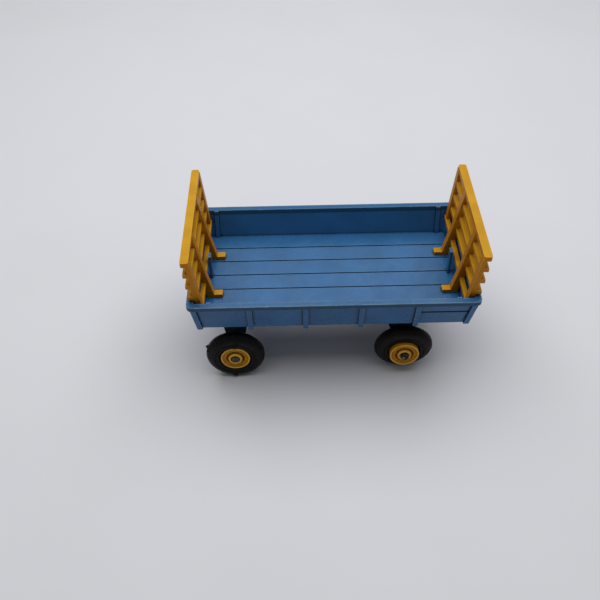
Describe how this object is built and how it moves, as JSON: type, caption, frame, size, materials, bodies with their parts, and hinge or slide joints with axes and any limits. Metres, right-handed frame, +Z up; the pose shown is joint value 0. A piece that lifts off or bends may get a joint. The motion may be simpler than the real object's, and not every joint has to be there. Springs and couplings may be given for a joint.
{
  "type": "toy hay trailer",
  "caption": "Small die-cast toy hay trailer with a flared ribbed bed, slatted plastic end racks, free-turning wheels and a swivelling front bogie with a drawbar.",
  "frame": {"origin": "on the ground, under the middle of the bed", "axes": "+X towards the front end, over the swivelling bogie; +Y to the left side; +Z up"},
  "size_m": [0.0624, 0.0338, 0.0364],
  "materials": {
    "bed_enamel": "blue enamel on die-cast metal, glossy, worn brighter along the rails",
    "bogie_enamel": "blue enamel on die-cast metal, darkened and worn",
    "steel": "dull plain steel with spun-over ends",
    "rack_plastic": "yellow-orange moulded plastic, satin",
    "hub_plastic": "yellow moulded plastic, satin",
    "tyre_black": "soft black plastic tyre, slightly glossy"
  },
  "bodies": {
    "trailer": {"bed": "bed_enamel", "pivot_rivet": "steel", "rear_axle": "steel", "rack_front": "rack_plastic", "rack_rear": "rack_plastic"},
    "bogie": {"front_bogie": "bogie_enamel", "drawbar": "bogie_enamel", "front_axle": "steel"},
    "wheel_front_left": {"hub_front_left": "hub_plastic", "tyre_front_left": "tyre_black"},
    "wheel_front_right": {"hub_front_right": "hub_plastic", "tyre_front_right": "tyre_black"},
    "wheel_rear_left": {"hub_rear_left": "hub_plastic", "tyre_rear_left": "tyre_black"},
    "wheel_rear_right": {"hub_rear_right": "hub_plastic", "tyre_rear_right": "tyre_black"}
  },
  "joints": [
    {"name": "bogie_swivel", "type": "hinge", "parent": "trailer", "child": "bogie", "pos_m": [0.0163, 0, 0.0157], "axis": [0, 0, 1], "continuous": true},
    {"name": "spin_front_left", "type": "hinge", "parent": "bogie", "child": "wheel_front_left", "pos_m": [0.0163, 0.0152, 0.0066], "axis": [0, 1, 0], "continuous": true},
    {"name": "spin_front_right", "type": "hinge", "parent": "bogie", "child": "wheel_front_right", "pos_m": [0.0163, -0.0152, 0.0066], "axis": [0, 1, 0], "continuous": true},
    {"name": "spin_rear_left", "type": "hinge", "parent": "trailer", "child": "wheel_rear_left", "pos_m": [-0.0219, 0.0152, 0.0066], "axis": [0, 1, 0], "continuous": true},
    {"name": "spin_rear_right", "type": "hinge", "parent": "trailer", "child": "wheel_rear_right", "pos_m": [-0.0219, -0.0152, 0.0066], "axis": [0, 1, 0], "continuous": true}
  ]
}
